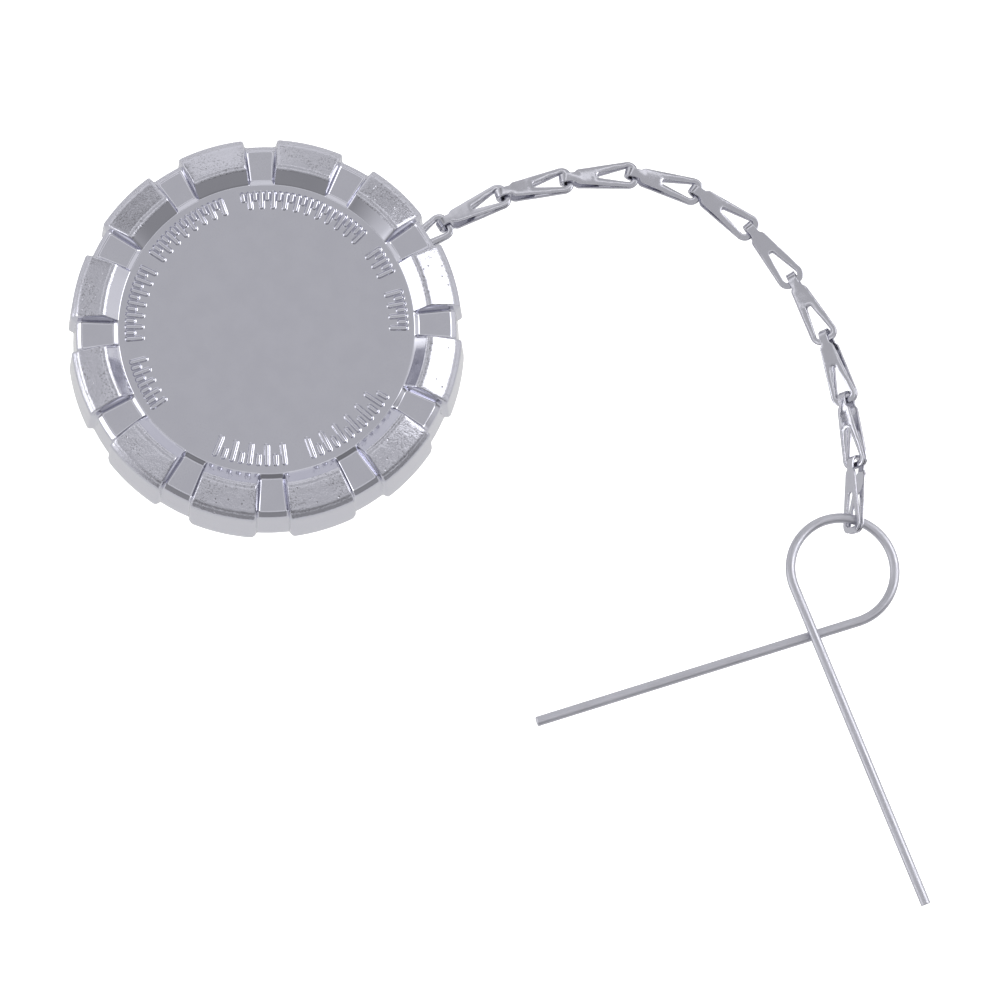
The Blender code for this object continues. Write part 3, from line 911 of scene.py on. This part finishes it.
def crown(row, share):
    """How far the strip bulges at a share of the way from the hole (0) to its edge or its neck (1)."""
    bulge = 4 * share * (1 - share)
    if row < NECK_ROWS:
        bulge = CROWN_BY_HOLE * bulge + share * (1 - (row / NECK_ROWS) ** 2)
    return CROWN * bulge


def link_layer(bm, sign):
    """One layer of the strip round the hole. Returns the row of points along its neck's end."""
    hole, outline = half_loops()
    across = 6
    sides = []
    for side in (1, -1):
        grid = []
        for number, (inner, outer) in enumerate(zip(hole, outline)):
            row = []
            for k in range(across + 1):
                flat = inner.lerp(outer, k / across)
                height = layer_height(flat.x) + crown(number, k / across)
                row.append(bm.verts.new((flat.x, side * flat.y, sign * height)))
            grid.append(row)
        for first, second in zip(grid, grid[1:]):
            for k in range(across):
                bm.faces.new((first[k], first[k + 1], second[k + 1], second[k]))
        sides.append(grid)
    left = [sides[0][k][across] for k in range(NECK_ROWS, 0, -1)]
    right = [sides[1][k][across] for k in range(NECK_ROWS + 1)]
    return left + right


def link_mesh(material):
    """A stamped strip folded back on itself, with rounded edges."""
    bm = bmesh.new()
    upper_end = link_layer(bm, 1)
    lower_end = link_layer(bm, -1)
    rows = [upper_end]
    shares = [vert.co.y / upper_end[0].co.y for vert in upper_end]
    for middle, half in neck_stations()[:-1]:
        bulge = CROWN * min(max(middle.x / CROWN_START, 0.0), 1.0)
        row = []
        for share in shares:
            lift = math.copysign(bulge * (1 - share * share), middle.z)
            row.append(bm.verts.new(middle + Vector((0, half * share, lift))))
        rows.append(row)
    rows.append(lower_end)
    for first, second in zip(rows, rows[1:]):
        for k in range(len(first) - 1):
            bm.faces.new((first[k], first[k + 1], second[k + 1], second[k]))
    bmesh.ops.remove_doubles(bm, verts=bm.verts, dist=0.001 * MM)
    strip = mesh_object("link_strip", bm, material)
    thick = strip.modifiers.new("thickness", "SOLIDIFY")
    thick.thickness = STRIP
    thick.offset = 0
    round_edges(strip, LINK_EDGE)
    settle(strip)
    mesh = strip.data
    bpy.data.objects.remove(strip)
    mesh.shade_smooth()
    return mesh


def link_matrix(number):
    """A link's frame, from its hinge and the shape of its CAD solid: x along it, y across its hole."""
    node = frame["nodes"][f"chain_link_{number:02d}"]
    points = np.array([vert.co for vert in node.data.vertices])
    origin = Vector(JOINTS[f"hinge_{number:02d}"]["pos_m"])
    middle = points.mean(axis=0)
    spread = np.linalg.eigh(np.cov((points - middle).T))[1]
    along = Vector(spread[:, 2])
    if along.dot(Vector(middle) - origin) < 0:
        along = -along
    across = Vector(spread[:, 1])
    up = along.cross(across)
    if up.z < 0:
        across, up = -across, -up
    turn = Matrix((along, across, up)).transposed().to_4x4()
    return Matrix.Translation(origin) @ turn


def chain(material):
    mesh = link_mesh(material)
    for number in range(1, LINKS + 1):
        link = bpy.data.objects.new(f"link_{number:02d}_strip", mesh)
        link.matrix_world = link_matrix(number)
        bpy.context.scene.collection.objects.link(link)
        show(link, f"link_{number:02d}", "stamped_chain", f"chain_link_{number:02d}")


# ---- wire clip ----


def wire_route():
    """The wire's centre line from the lower leg's end, round the loop, to the upper leg's end."""
    turn = OVER_LEG - UNDER_LEG
    hook = Vector(JOINTS["clip_swing"]["pos_m"])
    hook_height = LOOP_LOW + (LOOP_HIGH - LOOP_LOW) * (LINK_ON_LOOP - UNDER_LEG) / turn
    centre = hook - polar(LOOP_RADIUS, LINK_ON_LOOP, hook_height)
    loop_steps = 110
    loop = []
    for k in range(loop_steps + 1):
        share = k / loop_steps
        height = LOOP_LOW + (LOOP_HIGH - LOOP_LOW) * share
        loop.append(centre + polar(LOOP_RADIUS, UNDER_LEG + turn * share, height))
    leg_steps = 24
    low_end = loop[0] + polar(LEG_LENGTH, UNDER_LEG - 90)
    high_end = loop[-1] + polar(LEG_LENGTH, OVER_LEG + 90)
    low_end.z = high_end.z = centre.z + WIRE_RADIUS
    low_leg = [low_end.lerp(loop[0], k / leg_steps) for k in range(leg_steps)]
    high_leg = [loop[-1].lerp(high_end, k / leg_steps) for k in range(1, leg_steps + 1)]
    return low_leg + loop + high_leg


def wire_rings(bm, route, places, sides):
    """Rings of points round the wire. Its two ends are chamfered."""
    chamfer = 0.18 * MM
    last = len(route) - 1
    up = Vector((0, 0, 1))
    rings = []
    for position, index in enumerate(places):
        ahead = route[min(index + 1, last)]
        behind = route[max(index - 1, 0)]
        tangent = (ahead - behind).normalized()
        side = tangent.cross(up).normalized()
        over = side.cross(tangent)
        if position in (0, len(places) - 1):
            radius = WIRE_RADIUS - chamfer
            middle = route[index]
        else:
            radius = WIRE_RADIUS
            middle = route[index] + tangent * {0: chamfer, last: -chamfer}.get(index, 0.0)
        ring = []
        for k in range(sides):
            angle = 2 * math.pi * k / sides
            ring.append(bm.verts.new(middle + (side * math.cos(angle) + over * math.sin(angle)) * radius))
        rings.append(ring)
    return rings


def clip(material):
    """A round wire swept along the route, with its length and girth as a UV map."""
    route = wire_route()
    sides = 28
    strip_width = 2 * math.pi * WIRE_RADIUS / sides
    lengths = [0.0]
    for first, second in zip(route, route[1:]):
        lengths.append(lengths[-1] + (second - first).length)
    places = [0, *range(len(route)), len(route) - 1]
    bm = bmesh.new()
    uv_layer = bm.loops.layers.uv.new("along")
    rings = wire_rings(bm, route, places, sides)
    for number, (first, second) in enumerate(zip(rings, rings[1:])):
        start = lengths[places[number]]
        end = lengths[places[number + 1]]
        for k in range(sides):
            j = (k + 1) % sides
            face = bm.faces.new((first[k], first[j], second[j], second[k]))
            corners = ((start, k), (start, k + 1), (end, k + 1), (end, k))
            for loop, (u, v) in zip(face.loops, corners):
                loop[uv_layer].uv = (u, v * strip_width)
    bm.faces.new(rings[0])
    bm.faces.new(rings[-1])
    wire = mesh_object("wire_clip", bm, material, sharp=40)
    show(wire, "clip", "spring_wire", "retaining_wire")


# ---- studio ----


def floor_and_backdrop():
    """A round white floor, far enough below for the chain and the wire to swing down freely."""
    low, high = CAD_BOX
    bm = bmesh.new()
    bmesh.ops.create_circle(bm, cap_ends=True, segments=96, radius=FLOOR_RADIUS)
    material, tree, shader = new_material("white_floor", FLOOR_GREY, metallic=0)
    shader.inputs["Roughness"].default_value = 0.9
    shader.inputs["Specular IOR Level"].default_value = 0.1
    shader.inputs["Emission Color"].default_value = (1, 1, 1, 1)
    seen = add_node(tree, "LightPath").outputs["Is Camera Ray"]
    tree.links.new(combine(tree, "MULTIPLY", seen, FLOOR_GLOW), shader.inputs["Emission Strength"])
    middle = (low + high) / 2
    floor = mesh_object("floor", bm, material, Matrix.Translation((middle.x, middle.y, low.z - SWING_ROOM)))


def studio_world():
    """Soft boxes round the object, as light from each direction. What shows behind the floor is white."""
    world = bpy.data.worlds.new("studio")
    bpy.context.scene.world = world
    world.use_nodes = True
    tree = world.node_tree
    tree.nodes.clear()
    direction = add_node(tree, "TexCoord").outputs["Generated"]
    level = add_node(tree, "VectorMath", {0: direction, 1: (1, 1, 0)}, operation="MULTIPLY").outputs[0]
    level = add_node(tree, "VectorMath", {0: level}, operation="NORMALIZE").outputs[0]
    up = add_node(tree, "SeparateXYZ", {0: direction}).outputs[2]
    from_top = degrees(tree, up)
    light = BASE_LIGHT
    for azimuth, half_width, height, half_height, edge, added in LIGHT_PATCHES:
        facing = add_node(tree, "VectorMath", {0: level, 1: polar(1, azimuth)}, operation="DOT_PRODUCT")
        sideways = degrees(tree, facing.outputs["Value"])
        in_width = remap(tree, sideways, half_width - edge, half_width + edge, 1, 0)
        off = combine(tree, "ABSOLUTE", combine(tree, "SUBTRACT", from_top, float(height)))
        in_height = remap(tree, off, half_height - edge, half_height + edge, 1, 0)
        share = combine(tree, "MULTIPLY", in_width, in_height)
        light = combine(tree, "ADD", combine(tree, "MULTIPLY", share, added), light)
    lit = add_node(tree, "Background", {"Color": (1, 1, 1, 1), "Strength": light})
    plain = add_node(tree, "Background", {"Color": (1, 1, 1, 1), "Strength": 1.0})
    seen = add_node(tree, "LightPath").outputs["Is Camera Ray"]
    mixed = add_node(tree, "MixShader", {0: seen, 1: lit.outputs[0], 2: plain.outputs[0]})
    add_node(tree, "OutputWorld", {"Surface": mixed.outputs[0]})


def floor_light():
    """A very wide sun that whitens the floor and does not show in the metal."""
    lamp = bpy.data.lights.new("floor_light", "SUN")
    lamp.energy = SUN_STRENGTH
    lamp.angle = math.radians(SUN_WIDTH)
    sun = bpy.data.objects.new("floor_light", lamp)
    sun.rotation_euler = (*map(math.radians, SUN_TILT), 0)
    sun.visible_glossy = False
    bpy.context.scene.collection.objects.link(sun)


def camera():
    low, high = CAD_BOX
    aim = (low + high) / 2
    aim = Vector((aim.x + VIEW_OFFSET.x, aim.y + VIEW_OFFSET.y, low.z))
    back = polar(math.sin(math.radians(CAMERA_TILT)), CAMERA_DIRECTION, math.cos(math.radians(CAMERA_TILT)))
    right = Vector((0, 1, 0)).cross(back).normalized()
    turn = Matrix((right, back.cross(right), back)).transposed().to_4x4()
    data = bpy.data.cameras.new("camera")
    data.lens = LENS
    data.sensor_width = SENSOR
    data.clip_end = FARTHEST_SEEN
    made = bpy.data.objects.new("camera", data)
    made.matrix_world = Matrix.Translation(aim + back * VIEW_WIDTH * LENS / SENSOR) @ turn
    bpy.context.scene.collection.objects.link(made)
    bpy.context.scene.camera = made


def main():
    bpy.context.scene.view_settings.view_transform = "Standard"
    camera()
    studio_world()
    floor_light()
    floor_and_backdrop()
    materials = {
        "chrome": chrome_casting(),
        "chrome_inside": chrome_inside(),
        "plated": bright_steel("plated_steel", (0.58, 0.58, 0.62), (0.2, 0.34), 0.02 * MM, 0.02 * MM),
        "chain": bright_steel("stamped_steel", (0.57, 0.57, 0.63), (0.1, 0.18), 0.02 * MM, 0.3 * MM),
        "wire": drawn_wire(),
        "rubber": moulded_rubber(),
    }
    matrix = cap_matrix()
    cap_casting(materials, matrix)
    scale_marks(materials["chrome"], matrix)
    gasket(materials["rubber"], matrix)
    swivel(materials, matrix)
    chain(materials["chain"])
    clip(materials["wire"])


main()
